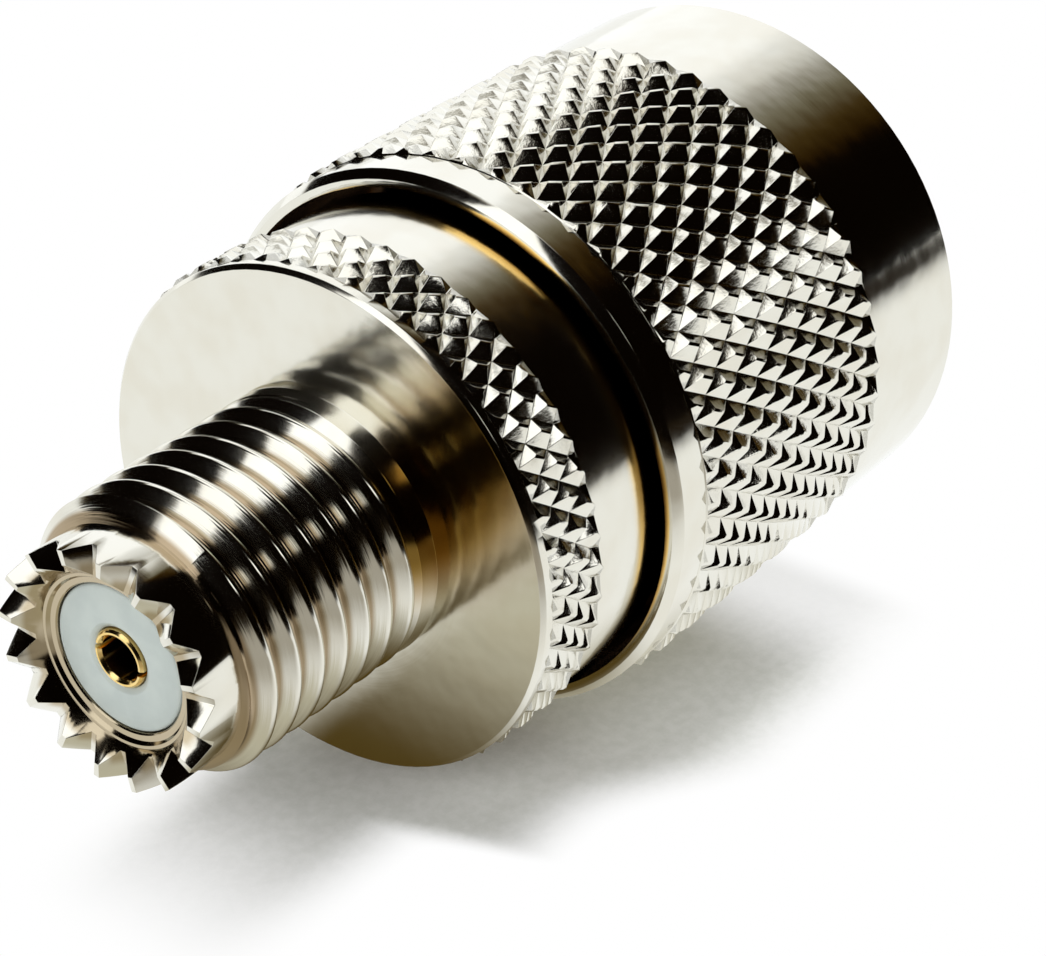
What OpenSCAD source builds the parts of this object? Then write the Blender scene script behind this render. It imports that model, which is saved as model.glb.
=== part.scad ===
// Coaxial adapter: a threaded jack with a serrated crown on one end, and on the other a plug with a loose
// coupling nut.
// Stations run along the axis from the front face of the flange, towards the mouth of the nut.

/* [Jack barrel] */
// Diameter over the threaded barrel
barrel_d = 9.5; // [8.5:0.1:11]
// Pitch of both threads
thread_pitch = 1.058; // [0.9:0.002:1.2]
// Depth of the barrel's thread
thread_depth = 0.56; // [0.3:0.02:0.64]
// Length of the plain band in front of the thread
thread_front = 0.3; // [0.2:0.02:0.5]
// Length of the plain hub between thread and flange
thread_hub = 0.6; // [0.4:0.05:1]
// Length of the barrel, from the flange to the crown
barrel_len = 8.3; // [6:0.1:12]
// Length of the cone between barrel and crown
barrel_cone_len = 0.55; // [0.3:0.05:0.8]
// Radial step from the barrel down to the crown
crown_step = 0.72; // [0.4:0.02:1]
// Length of the crown, tooth tips included
crown_len = 1.6; // [1.3:0.1:2.4]
// Number of teeth on the crown
crown_teeth = 16; // [12:1:20]
// Depth of the notches between the crown teeth, at the outer wall
crown_notch_depth = 0.68; // [0.4:0.02:0.9]
// Width of the floor of each notch
crown_notch_floor = 0.18; // [0.1:0.02:0.3]
// Slope of the notch floors, rising towards the axis, in degrees
crown_notch_slope = 10; // [0:1:15]
// Turn of the crown about the axis, in degrees
crown_turn = -4.5; // [-11:0.5:11]
// Land left on each tooth tip, as an arc
crown_land = 0.14; // [0.05:0.01:0.3]
// Wall of the crown at the tooth tips
crown_wall = 0.5; // [0.3:0.02:0.7]
// Width of the open gap between the jack insulator and the crown
throat_gap = 0.34; // [0.2:0.02:0.5]
// Depth of that gap behind the insulator's face
throat_depth = 1.2; // [0.5:0.1:2]

/* [Flange] */
// Diameter of the smooth guide behind the flange
guide_d = 17.44; // [16:0.1:20]
// Length of the guide, its rounded shoulder included
guide_len = 3.94; // [3:0.02:4.4]
// Radius of the shoulder between guide and neck
guide_round = 2.4; // [1.2:0.05:2.5]
// Height of the flange knurl's crests above the guide
flange_knurl_rise = 0.26; // [0.15:0.01:0.5]
// Length of the flange knurl
flange_knurl_len = 2.52; // [1.6:0.05:4]
// Diamonds round the flange knurl
flange_knurl_count = 52; // [40:1:64]
// Length of one diamond of the flange knurl
flange_diamond_len = 1.7; // [1.2:0.05:2.6]
// Depth of the flange knurl's grooves
flange_groove_depth = 0.36; // [0.15:0.01:0.5]
// Height of the plain lip in front of the knurl above the guide
flange_lip_rise = 0.1; // [0.02:0.01:0.12]
// Length of the plain lip
flange_lip_len = 0.44; // [0.3:0.02:0.8]
// Bevel on the front edge of the lip
flange_bevel = 0.14; // [0.05:0.01:0.25]

/* [Neck] */
// Diameter of the neck that carries the nut's ring
neck_d = 12.4; // [11.4:0.1:13]
// Length of the neck, from the guide to the plug shell
neck_len = 4.5; // [4:0.05:7]
// Depth of the cavity behind the plug shell
cavity_depth = 6.8; // [6:0.1:8]

/* [Plug shell] */
// Length of the shell's rim
shell_rim_len = 1.4; // [1:0.1:2]
// Length of the spigot pressed into the neck
spigot_len = 4; // [3:0.1:5]
// Diameter of the spigot
spigot_d = 10.2; // [10:0.1:10.6]
// Wall of the spigot
spigot_wall = 0.9; // [0.5:0.05:1.2]
// Width of the two locating teeth
shell_tooth_w = 1.6; // [1:0.1:2.4]
// Height of the locating teeth
shell_tooth_h = 0.8; // [0.4:0.1:1.2]
// Radial length of the locating teeth
shell_tooth_len = 1.2; // [0.8:0.1:1.6]

/* [Coupling nut] */
// Length of the nut
nut_len = 17.4; // [15.5:0.1:20]
// Open gap between flange knurl and nut
nut_gap = 3.04; // [2.5:0.02:3.4]
// Radial gap between guide and skirt
skirt_gap = 0.4; // [0.2:0.02:0.6]
// Wall of the skirt
skirt_wall = 0.54; // [0.4:0.02:1]
// Bevel on the outer edges of the nut
nut_bevel = 0.18; // [0.05:0.01:0.25]
// Length of the plain collar at the back of the nut
collar_len = 1.55; // [1:0.05:2.4]
// Height of the nut knurl's crests above the collar
nut_knurl_rise = 0.24; // [0.1:0.01:0.5]
// Length of the nut knurl
nut_knurl_len = 10.35; // [8:0.05:12]
// Diamonds round the nut knurl
nut_knurl_count = 54; // [44:1:64]
// Length of one diamond of the nut knurl
nut_diamond_len = 1.84; // [1.4:0.02:2.6]
// Depth of the nut knurl's grooves
nut_groove_depth = 0.42; // [0.2:0.01:0.6]
// Run-out at the ends of both knurls
knurl_runout = 0.2; // [0.1:0.01:0.3]
// Diameter of the nut's threaded bore, over the thread crests
nut_bore_d = 14.9; // [14.4:0.1:15.6]
// Depth of the nut's thread
nut_thread_depth = 0.55; // [0.3:0.02:0.64]
// Distance of the nut's thread from the plug's mating face
nut_thread_start = 1.2; // [0.8:0.1:2]
// Radial gap between plug shell and threaded bore
shell_gap = 0.35; // [0.3:0.01:0.6]
// Wall between skirt and ring groove
nut_lip_wall = 0.85; // [0.5:0.05:1.2]
// Bevel at the mouth of the bore
mouth_bevel = 0.3; // [0.1:0.05:0.6]

/* [Retaining ring] */
// Thickness of the ring
ring_t = 1; // [0.7:0.05:1.2]
// Radial width of the ring
ring_w = 1.6; // [1.3:0.05:1.9]
// Opening in the ring
ring_opening = 2.4; // [1:0.1:4]
// Running gap between ring, neck and nut
run_gap = 0.08; // [0.05:0.01:0.1]

/* [Contacts and insulators] */
// Seating gap between pieces that are pressed together
seat_gap = 0.03; // [0.02:0.01:0.05]
// Diameter of the front of the jack insulator
jack_insulator_d = 4.95; // [4.4:0.05:5.4]
// Depth of the jack insulator's face behind the tooth tips
jack_face_depth = 0.75; // [0.5:0.05:1.2]
// Radial step at the back of the jack insulator
jack_insulator_step = 0.45; // [0.3:0.05:0.7]
// Distance of that step in front of the flange face
jack_step_len = 2; // [1.2:0.1:3]
// Diameter of the socket contact
socket_d = 1.96; // [1.8:0.02:2.3]
// Wall of the socket contact
socket_wall = 0.25; // [0.2:0.01:0.35]
// Depth of the socket's bore
socket_bore_depth = 4.5; // [3.5:0.1:5.5]
// Width of the socket's slots
socket_slot_w = 0.24; // [0.15:0.01:0.3]
// Length of the socket's slots
socket_slot_len = 3.6; // [2.5:0.1:4.5]
// Radial height of the socket contact's collar
contact_collar = 0.35; // [0.2:0.05:0.5]
// Length of that collar
contact_collar_len = 1.4; // [0.8:0.1:2]
// Diameter of the contact's tail
tail_d = 1.2; // [0.8:0.05:1.4]
// Diameter of the plug's centre pin
pin_d = 4; // [3.6:0.05:4.4]
// Length of the pin in front of the plug insulator
pin_len = 10.2; // [8:0.1:11]
// Radius of the pin's rounded tip edge
pin_round = 1.2; // [0.5:0.1:1.6]
// Radial shoulder of the pin on the plug insulator
pin_shoulder = 0.6; // [0.3:0.05:0.8]
// Length of the pin's shank behind that shoulder
shank_len = 6.9; // [5.5:0.1:7.5]
// Length of the tail inside the shank
tail_depth = 2.3; // [1.5:0.1:3]

/* [Hidden] */
$fn = 96;
eps = 0.01;
knurl_bite = 0.5;
knurl_cover = 0.06;
thread_bite = 0.06;
thread_runout = 0.2;

nickel = "#c9c4b8";
dark_steel = "#8d8f92";
insulator_blue = "#bcc8ca";
gold = "#d8b45a";

// Jack side
barrel_r = barrel_d / 2;
crown_r = barrel_r - crown_step;
barrel_z = -barrel_len + barrel_cone_len;
thread_z = barrel_z + thread_front;
thread_end_z = -thread_hub;
thread_root_r = barrel_r - thread_depth;
crown_tip_z = -barrel_len - crown_len;
jack_face_z = crown_tip_z + jack_face_depth;
jack_insulator_r = jack_insulator_d / 2;
jack_back_r = jack_insulator_r + jack_insulator_step;
jack_step_z = -jack_step_len;
crown_bore_r = crown_r - crown_wall;
throat_r = jack_insulator_r + throat_gap;
throat_z = jack_face_z + throat_depth;

// Flange, guide and neck
guide_r = guide_d / 2;
flange_crest_r = guide_r + flange_knurl_rise;
flange_root_r = flange_crest_r - flange_groove_depth;
flange_core_r = flange_root_r - knurl_cover;
flange_lip_r = guide_r + flange_lip_rise;
flange_knurl_z = flange_lip_len;
guide_z = flange_knurl_z + flange_knurl_len;
neck_z = guide_z + guide_len;
neck_r = neck_d / 2;
shell_z = neck_z + neck_len;
mating_z = shell_z + shell_rim_len;
cavity_z = shell_z - cavity_depth;
spigot_r = spigot_d / 2;
cavity_r = spigot_r + seat_gap;
plug_insulator_r = spigot_r - spigot_wall - seat_gap;

// Coupling nut
nut_z = guide_z + nut_gap;
nut_mouth_z = nut_z + nut_len;
skirt_r = guide_r + skirt_gap;
collar_r = skirt_r + skirt_wall;
nut_knurl_z = nut_z + collar_len;
nut_knurl_end_z = nut_knurl_z + nut_knurl_len;
nut_crest_r = collar_r + nut_knurl_rise;
nut_root_r = nut_crest_r - nut_groove_depth;
nut_core_r = nut_root_r - knurl_cover;
nut_bore_r = nut_bore_d / 2;
nut_bore_root_r = nut_bore_r + nut_thread_depth;
nut_thread_z = mating_z + nut_thread_start;
shell_r = nut_bore_r - shell_gap;

// Retaining ring and its groove
ring_z = shell_z - run_gap - ring_t;
ring_bore_r = neck_r + run_gap;
ring_r = ring_bore_r + ring_w;
ring_groove_r = ring_r + run_gap;
ring_groove_z = ring_z - run_gap;
ring_groove_end_z = ring_z + ring_t + run_gap;
skirt_end_z = ring_groove_z - nut_lip_wall;
nut_lip_r = nut_bore_r - shell_gap;

// Contacts
socket_r = socket_d / 2;
socket_bore_r = socket_r - socket_wall;
contact_collar_r = socket_r + contact_collar;
tail_r = tail_d / 2;
pin_r = pin_d / 2;
pin_tip_z = mating_z + pin_len;
shank_r = pin_r - pin_shoulder;
shank_z = mating_z - shank_len;
tail_end_z = shank_z + tail_depth;

// Lays an upright turned piece along X, with the plug's mating face at the origin
module lie_down() {
  translate([-mating_z, 0, 0])
    rotate([0, 90, 0])
      children();
}

// A turned piece from its half section, given as [radius, station] points
module turned(section) {
  rotate_extrude()
    polygon(section);
}

// Points of a rounded outer corner, from the cylinder round to the end face
function round_end(r, z, radius, steps = 10) =
  [for (i = [0 : steps]) let (a = 90 * i / steps) [r - radius * (1 - cos(a)), z - radius * (1 - sin(a))]];

// One ring of knurl vertices. Crests and groove crossings alternate, and each row is shifted by one against
// the last
function knurl_row(count, row, crest, root, z) =
  [for (i = [0 : 2 * count - 1])
    let (r = (i + row) % 2 == 0 ? crest : root, a = 180 * i / count)
    [r * cos(a), r * sin(a), z]];

// The two triangles between neighbouring rows and columns, folded along the groove
function knurl_cell(a, b, c, d, crest_first) = crest_first ? [[a, b, d], [b, c, d]] : [[a, b, c], [a, c, d]];

// A ring of four-sided pyramids left between two sets of crossed helical grooves
module diamond_knurl(count, diamond_len, crest, depth, end_r, z0, z1) {
  columns = 2 * count;
  spans = max(1, round(2 * (z1 - z0 - 2 * knurl_runout) / diamond_len));
  span = (z1 - z0 - 2 * knurl_runout) / spans;
  root = crest - depth;
  inner = root - knurl_bite;
  rows = concat(
    [knurl_row(count, 0, inner, inner, z0), knurl_row(count, 0, end_r, end_r, z0)],
    [for (k = [0 : spans]) knurl_row(count, k, crest, root, z0 + knurl_runout + k * span)],
    [knurl_row(count, 0, end_r, end_r, z1), knurl_row(count, 0, inner, inner, z1)]
  );
  total = len(rows);
  faces = [for (k = [0 : total - 1], i = [0 : columns - 1])
    let (
      next_row = (k + 1) % total,
      next = (i + 1) % columns,
      cell = knurl_cell(k * columns + i, k * columns + next, next_row * columns + next,
                        next_row * columns + i, (i + k) % 2 == 0)
    )
    each cell];
  polyhedron([for (row = rows) each row], [for (f = faces) [f[2], f[1], f[0]]], convexity = 8);
}

// The ridge of a right-hand thread, with sixty degree flanks, from its base in the wall to its crest
module thread_ridge(base_r, crest_r, z0, z1, steps) {
  count = floor(steps * (z1 - z0) / thread_pitch);
  crest_half = 0.055 * thread_pitch;
  base_half = crest_half + abs(base_r - crest_r) * tan(33);
  section = base_r < crest_r
    ? [[base_r, -base_half], [crest_r, -crest_half], [crest_r, crest_half], [base_r, base_half]]
    : [[base_r, base_half], [crest_r, crest_half], [crest_r, -crest_half], [base_r, -base_half]];
  points = [for (j = [0 : count], corner = section)
    let (a = 360 * j / steps)
    [corner[0] * cos(a), corner[0] * sin(a), z0 + thread_pitch * j / steps + corner[1]]];
  sides = [for (j = [0 : count - 1], k = [0 : 3])
    let (a = 4 * j + k, b = 4 * j + (k + 1) % 4)
    each [[a, b, b + 4], [a, b + 4, a + 4]]];
  ends = [[3, 2, 1, 0], [for (k = [0 : 3]) 4 * count + k]];
  polyhedron(points, concat(ends, sides), convexity = 10);
}

// Notches between the crown teeth, cut through the wall from the axis outwards
module crown_notches() {
  pitch_arc = 2 * PI * crown_r / crown_teeth;
  half_floor = crown_notch_floor / 2;
  flare = (pitch_arc - crown_land) / 2 - half_floor;
  start_r = jack_insulator_r / 2;
  start_z = crown_tip_z + crown_notch_depth - (crown_r - start_r) * tan(crown_notch_slope);
  reach = 2;
  for (i = [0 : crown_teeth - 1])
    rotate([0, 0, crown_turn + 360 * i / crown_teeth])
      translate([start_r, 0, start_z])
        rotate([0, -crown_notch_slope, 0])
          rotate([90, 0, 90])
            linear_extrude(crown_r)
              polygon([[half_floor, 0],
                       [half_floor + flare * reach, -crown_notch_depth * reach],
                       [-half_floor - flare * reach, -crown_notch_depth * reach],
                       [-half_floor, 0]]);
}

module jack_body() {
  color(nickel)
    lie_down()
      difference() {
        union() {
          turned(concat(
            [[jack_insulator_r + seat_gap, throat_z],
             [throat_r, throat_z],
             [throat_r, jack_face_z],
             [crown_bore_r, crown_tip_z],
             [crown_r, crown_tip_z],
             [crown_r, -barrel_len],
             [barrel_r, barrel_z],
             [barrel_r, thread_z],
             [thread_root_r, thread_z + thread_runout],
             [thread_root_r, thread_end_z - thread_runout],
             [barrel_r, thread_end_z],
             [barrel_r, 0],
             [flange_lip_r - flange_bevel, 0],
             [flange_lip_r, flange_bevel],
             [flange_lip_r, flange_knurl_z],
             [flange_core_r, flange_knurl_z],
             [flange_core_r, guide_z],
             [guide_r, guide_z]],
            round_end(guide_r, neck_z, guide_round),
            [[neck_r, neck_z],
             [neck_r, shell_z],
             [cavity_r, shell_z],
             [cavity_r, cavity_z],
             [jack_back_r + seat_gap, cavity_z],
             [jack_back_r + seat_gap, jack_step_z],
             [jack_insulator_r + seat_gap, jack_step_z]]
          ));
          diamond_knurl(flange_knurl_count, flange_diamond_len, flange_crest_r, flange_groove_depth,
                        flange_lip_r + knurl_cover, flange_knurl_z, guide_z);
          thread_ridge(thread_root_r - thread_bite, barrel_r, thread_z + thread_runout,
                       thread_end_z - thread_runout, 24);
        }
        crown_notches();
      }
}

module plug_shell() {
  bore_r = spigot_r - spigot_wall;
  color(nickel)
    lie_down() {
      turned([[bore_r, shell_z - spigot_len],
              [spigot_r, shell_z - spigot_len],
              [spigot_r, shell_z],
              [shell_r, shell_z],
              [shell_r, mating_z],
              [bore_r, mating_z]]);
      for (side = [0, 180])
        rotate([0, 0, side])
          translate([shell_r - nut_bevel - shell_tooth_len, -shell_tooth_w / 2, mating_z - eps])
            cube([shell_tooth_len, shell_tooth_w, shell_tooth_h + eps]);
    }
}

module coupling_nut() {
  color(nickel)
    lie_down() {
      turned([[skirt_r, nut_z],
              [collar_r - nut_bevel, nut_z],
              [collar_r, nut_z + nut_bevel],
              [collar_r, nut_knurl_z],
              [nut_core_r, nut_knurl_z],
              [nut_core_r, nut_knurl_end_z],
              [collar_r, nut_knurl_end_z],
              [collar_r, nut_mouth_z - nut_bevel],
              [collar_r - nut_bevel, nut_mouth_z],
              [nut_bore_root_r + mouth_bevel, nut_mouth_z],
              [nut_bore_root_r, nut_mouth_z - mouth_bevel],
              [nut_bore_root_r, nut_thread_z],
              [nut_bore_r, nut_thread_z - thread_runout],
              [nut_bore_r, ring_groove_end_z],
              [ring_groove_r, ring_groove_end_z],
              [ring_groove_r, ring_groove_z],
              [nut_lip_r, ring_groove_z],
              [nut_lip_r, skirt_end_z],
              [skirt_r, skirt_end_z]]);
      diamond_knurl(nut_knurl_count, nut_diamond_len, nut_crest_r, nut_groove_depth, collar_r + knurl_cover,
                    nut_knurl_z, nut_knurl_end_z);
      thread_ridge(nut_bore_root_r + thread_bite, nut_bore_r, nut_thread_z,
                   nut_mouth_z - mouth_bevel - thread_pitch / 2, 32);
    }
}

module retaining_ring() {
  color(dark_steel)
    lie_down()
      difference() {
        turned([[ring_bore_r, ring_z],
                [ring_r, ring_z],
                [ring_r, ring_z + ring_t],
                [ring_bore_r, ring_z + ring_t]]);
        translate([0, -ring_opening / 2, ring_z - eps])
          cube([ring_r + eps, ring_opening, ring_t + 2 * eps]);
      }
}

module jack_insulator() {
  hole_r = socket_r + seat_gap;
  back_hole_r = contact_collar_r + seat_gap;
  color(insulator_blue)
    lie_down()
      turned([[hole_r, jack_face_z],
              [jack_insulator_r, jack_face_z],
              [jack_insulator_r, jack_step_z + seat_gap],
              [jack_back_r, jack_step_z + seat_gap],
              [jack_back_r, cavity_z],
              [back_hole_r, cavity_z],
              [back_hole_r, jack_step_z],
              [hole_r, jack_step_z]]);
}

module plug_insulator() {
  hole_r = shank_r + seat_gap;
  step_z = shell_z - spigot_len - seat_gap;
  color(insulator_blue)
    lie_down()
      turned([[hole_r, cavity_z],
              [spigot_r, cavity_z],
              [spigot_r, step_z],
              [plug_insulator_r, step_z],
              [plug_insulator_r, mating_z],
              [hole_r, mating_z]]);
}

module socket_contact() {
  color(gold)
    lie_down()
      difference() {
        turned([[0, jack_face_z + socket_bore_depth],
                [socket_bore_r, jack_face_z + socket_bore_depth],
                [socket_bore_r, jack_face_z],
                [socket_r, jack_face_z],
                [socket_r, jack_step_z],
                [contact_collar_r, jack_step_z],
                [contact_collar_r, jack_step_z + contact_collar_len],
                [tail_r, jack_step_z + contact_collar_len],
                [tail_r, tail_end_z],
                [0, tail_end_z]]);
        translate([-socket_slot_w / 2, -socket_d, jack_face_z - eps])
          cube([socket_slot_w, 2 * socket_d, socket_slot_len + eps]);
      }
}

module plug_pin() {
  bore_r = tail_r + seat_gap;
  bore_end_z = tail_end_z + seat_gap;
  color(nickel)
    lie_down()
      turned(concat(
        [[bore_r, shank_z],
         [shank_r, shank_z],
         [shank_r, mating_z],
         [pin_r, mating_z]],
        round_end(pin_r, pin_tip_z, pin_round),
        [[0, pin_tip_z],
         [0, bore_end_z],
         [bore_r, bore_end_z]]
      ));
}

jack_body();
plug_shell();
coupling_nut();
retaining_ring();
jack_insulator();
plug_insulator();
socket_contact();
plug_pin();
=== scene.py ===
import math
import random

import bpy
from mathutils import Matrix, Vector


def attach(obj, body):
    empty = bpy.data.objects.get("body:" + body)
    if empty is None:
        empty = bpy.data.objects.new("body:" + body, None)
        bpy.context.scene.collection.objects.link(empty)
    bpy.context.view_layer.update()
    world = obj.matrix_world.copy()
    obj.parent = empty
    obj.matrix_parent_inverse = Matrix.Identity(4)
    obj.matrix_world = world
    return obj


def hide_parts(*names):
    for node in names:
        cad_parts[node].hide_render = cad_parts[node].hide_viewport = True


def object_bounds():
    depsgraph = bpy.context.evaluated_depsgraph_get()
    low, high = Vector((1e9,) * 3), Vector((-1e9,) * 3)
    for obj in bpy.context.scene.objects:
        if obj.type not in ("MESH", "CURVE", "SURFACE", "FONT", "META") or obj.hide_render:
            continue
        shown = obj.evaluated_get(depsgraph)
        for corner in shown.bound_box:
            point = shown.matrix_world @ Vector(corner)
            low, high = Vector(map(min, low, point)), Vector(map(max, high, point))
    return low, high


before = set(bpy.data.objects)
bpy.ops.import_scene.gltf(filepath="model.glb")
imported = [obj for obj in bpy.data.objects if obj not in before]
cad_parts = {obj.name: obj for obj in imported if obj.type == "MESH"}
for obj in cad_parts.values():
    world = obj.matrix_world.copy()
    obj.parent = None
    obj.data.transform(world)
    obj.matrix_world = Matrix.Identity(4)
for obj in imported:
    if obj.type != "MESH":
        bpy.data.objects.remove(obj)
cad_low, cad_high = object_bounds()

# Lengths are millimetres along the axis from the plug's mating face, and radii from the axis. Angles are degrees.
MM = 0.001
DEGREE = 180 / math.pi
AXIS = (1, 0, 0)
CENTRE = (0, 0, 0)
MERGE = 0.0005
GAP = 0.03

# Steps round the axis, and the angles from which an edge is bevelled and its shading stays sharp
PLAIN_STEPS, FINE_STEPS, THREAD_STEPS = 96, 128, 104
BEVEL_ANGLE, SHARP_ANGLE = 28, 40

# Crown and barrel; the throat's rings are given by their place in front of the insulator's face
CROWN_TIP, CROWN_BACK = -22.85, -20.7
CROWN_R, CROWN_INNER_R = 4.03, 3.53
CROWN_TEETH, CROWN_TURN, TOOTH_LAND = 16, -4.5, 0.2
NOTCH_DEPTH, NOTCH_FLOOR, NOTCH_SLOPE = 0.68, 0.18, 10
NOTCH_REACH, NOTCH_OUT_R, NOTCH_IN_R = 1.6, 4.7, 1.6
BORE_R = 2.505
THROAT = [(0.05, 2.74), (0.17, 2.82), (0.18, 2.93), (0.3, 2.98)]
BARREL_FRONT, BARREL_CONE, BARREL_R = -21.1, -20.55, 4.75
THREAD_END = -13.3
THREAD_PITCH, THREAD_DEPTH = 1.058, 0.53
THREAD_PHASE = 0.05
CREST_ROUND, ROOT_ROUND, ROUND_TURN = 0.18, 0.16, 57

# Hub, flange, guide and neck
HUB_FRONT, HUB_CONE, HUB_FRONT_R, HUB_R, HUB_FACE_R = -14.1, -13.5, 4.1, 4.7, 4.74
FLANGE_FRONT, LIP_END, FLANGE_KNURL_END, GUIDE_END = -12.8, -12.36, -9.84, -5.9
LIP_R, FLANGE_CREST_R, FLANGE_ROOT_R, GUIDE_R = 8.82, 8.97, 8.62, 8.72
LIP_BEVEL, GUIDE_BEVEL, GUIDE_STEP = 0.14, 0.3, 0.06
FLANGE_DIAMONDS, FLANGE_SPANS, FLANGE_SEED = 52, 3, 3
NECK_END, NECK_R = -1.4, 6.2
CAVITY_R, CAVITY_END = 5.13, -8.2
BACK_BORE_R = 2.955

# Coupling nut
NUT_BACK, NUT_KNURL, NUT_KNURL_END, NUT_MOUTH = -6.8, -5.25, 5.1, 10.6
COLLAR_R, NUT_CREST_R, NUT_ROOT_R = 9.66, 9.89, 9.5
COLLAR_BEVEL, COLLAR_BEVEL_LEN, BAND_BEVEL, MOUTH_BEVEL = 0.26, 0.3, 0.18, 0.3
NUT_DIAMONDS, NUT_SPANS, NUT_SEED = 54, 11, 8
SKIRT_R, SKIRT_END, NUT_LIP_R = 9.12, -3.41, 7.1
RING_GROOVE_R, RING_GROOVE, RING_GROOVE_END = 7.96, -2.56, -1.4
NUT_THREAD, NUT_THREAD_CREST_R, NUT_THREAD_ROOT_R = 1.2, 7.45, 8.0
NUT_THREAD_LEAD, NUT_THREAD_SUNK, NUT_THREAD_FLANK, NUT_THREAD_TURNS = 0.2, 0.06, 33, 8

# Both knurls
KNURL_RUNOUT, KNURL_RIM = 0.2, 0.04
KNURL_LAND, KNURL_RIDGE = 0.45, 0.25
KNURL_SCATTER, KNURL_WEAR = 0.02, 0.003

# Contact and insulator of the jack
JACK_FACE, SOCKET_TIP = -21.95, -22.0
INSULATOR_R, INSULATOR_STEP, INSULATOR_STEP_R = 2.475, -14.77, 2.925
DISH_DEPTH, DISH_W = 0.14, 0.22
SOCKET_R, SOCKET_BORE_R, SOCKET_BORE_LEN, SOCKET_DRILL_LEN = 0.98, 0.73, 4.3, 4.5
SLOT_W, SLOT_LEN, SLOT_TURN, SLOT_AHEAD, SLOT_REACH = 0.2, 3.6, 11.4, 0.3, 1.5
CONTACT_STEP, CONTACT_STEP_END, CONTACT_STEP_R, CONTACT_SEAT_R = -14.8, -13.4, 1.33, 1.36
TAIL_R, TAIL_END = 0.6, -4.6

# Shell, insulator, pin and ring of the plug
SHELL_BACK, SHELL_RIM, SHELL_R, SPIGOT_R, SHELL_BORE_R = -5.4, -1.4, 7.1, 5.1, 4.2
SHELL_TOOTH_W, SHELL_TOOTH_H, SHELL_TOOTH_OUT, SHELL_TOOTH_IN, SHELL_TOOTH_SUNK = 1.6, 0.8, 6.92, 5.72, 0.05
PIN_R, PIN_TIP, PIN_ROUND, SHANK_R, SHANK_BACK = 2.0, 10.2, 1.2, 1.4, -6.9
PIN_DRILL_R, PIN_DRILL_END = 0.63, -4.57
RING_BACK, RING_FRONT, RING_BORE_R, RING_R, RING_OPENING = -2.48, -1.48, 6.28, 7.88, 2.4

# Depth of the plating's turning lines and waves, and share of the cut marks on a knurl
PLATE_LINES, THREAD_LINES, PLATE_WAVE, CUT_MARKS = 0.0009, 0.011, 0.02, 0.32

# Camera and floor
CAMERA_PLACE, CAMERA_AIM = (-69.245, -50.221, 48.262), (0.68135, 0.50932, -0.52569)
CAMERA_LENS, SENSOR_W, CLIP_START = 97.21, 36.0, 5
FLOOR_R, FLOOR_RIM = 600, 20


def deselect():
    """Clears the selection."""
    bpy.ops.object.select_all(action="DESELECT")


def choose(piece):
    """Selects one piece alone, ready for an operator."""
    deselect()
    piece.select_set(True)
    bpy.context.view_layer.objects.active = piece


def edit_all(operator, **settings):
    """Runs one operator on the whole active piece in edit mode."""
    bpy.ops.object.mode_set(mode="EDIT")
    bpy.ops.mesh.select_all(action="SELECT")
    operator(**settings)
    bpy.ops.object.mode_set(mode="OBJECT")


def edit_some(piece, wanted, operator, **settings):
    """Runs one operator in edit mode on the vertices for which wanted(vertex) is true."""
    bpy.ops.object.mode_set(mode="EDIT")
    bpy.ops.mesh.select_mode(type="VERT")
    bpy.ops.mesh.select_all(action="DESELECT")
    bpy.ops.object.mode_set(mode="OBJECT")
    for vertex in piece.data.vertices:
        vertex.select = wanted(vertex)
    bpy.ops.object.mode_set(mode="EDIT")
    operator(**settings)
    bpy.ops.object.mode_set(mode="OBJECT")


def finish_with(piece, kind, **settings):
    """Adds one modifier with its settings and applies it."""
    choose(piece)
    modifier = piece.modifiers.new(kind.lower(), kind)
    for name, value in settings.items():
        setattr(modifier, name, value)
    bpy.ops.object.modifier_apply(modifier=modifier.name)


def draw_line(name, points):
    """A line of edges through the points, drawn from one vertex by extruding it from place to place."""
    deselect()
    bpy.ops.mesh.primitive_plane_add(size=MM)
    piece = bpy.context.object
    piece.name = name
    bpy.ops.object.mode_set(mode="EDIT")
    bpy.ops.mesh.merge(type="CENTER")
    here = Vector(CENTRE)
    for number, point in enumerate(points):
        step = Vector(point) * MM - here
        if number == 0:
            bpy.ops.transform.translate(value=step)
        else:
            bpy.ops.mesh.extrude_vertices_move(TRANSFORM_OT_translate={"value": step})
        here += step
    bpy.ops.object.mode_set(mode="OBJECT")
    return piece


def close_up(piece):
    """Merges doubles and turns every face outwards."""
    choose(piece)
    edit_all(bpy.ops.mesh.remove_doubles, threshold=MERGE * MM)
    edit_all(bpy.ops.mesh.normals_make_consistent, inside=False)


def turned(name, outline, steps):
    """A turned piece: its closed half section of (station, radius) corners is drawn and spun about the axis."""
    piece = draw_line(name, [(x, 0, r) for x, r in outline + outline[:1]])
    edit_all(bpy.ops.mesh.spin, steps=steps, angle=math.tau, center=CENTRE, axis=AXIS)
    close_up(piece)
    return piece


def wind(piece, pitch, turns, steps):
    """Winds a drawn section along the axis and merges its turns where they meet."""
    finish_with(piece, "SCREW", axis="X", angle=math.tau, screw_offset=pitch * MM, iterations=turns, steps=steps,
                render_steps=steps, use_merge_vertices=True, merge_threshold=MERGE * MM, use_smooth_shade=False)
    close_up(piece)


def rounded(x, r, radius, steps):
    """Corner points of an outer edge rounded from the cylinder to the end face."""
    angles = [math.pi / 2 * i / steps for i in range(steps + 1)]
    return [(x - radius * (1 - math.sin(a)), r - radius * (1 - math.cos(a))) for a in angles]


def smooth(piece):
    """Smooths the shading, with flat faces kept flat."""
    choose(piece)
    bpy.ops.object.shade_smooth_by_angle(angle=math.radians(SHARP_ANGLE))
    finish_with(piece, "WEIGHTED_NORMAL", keep_sharp=True, weight=60)


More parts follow.
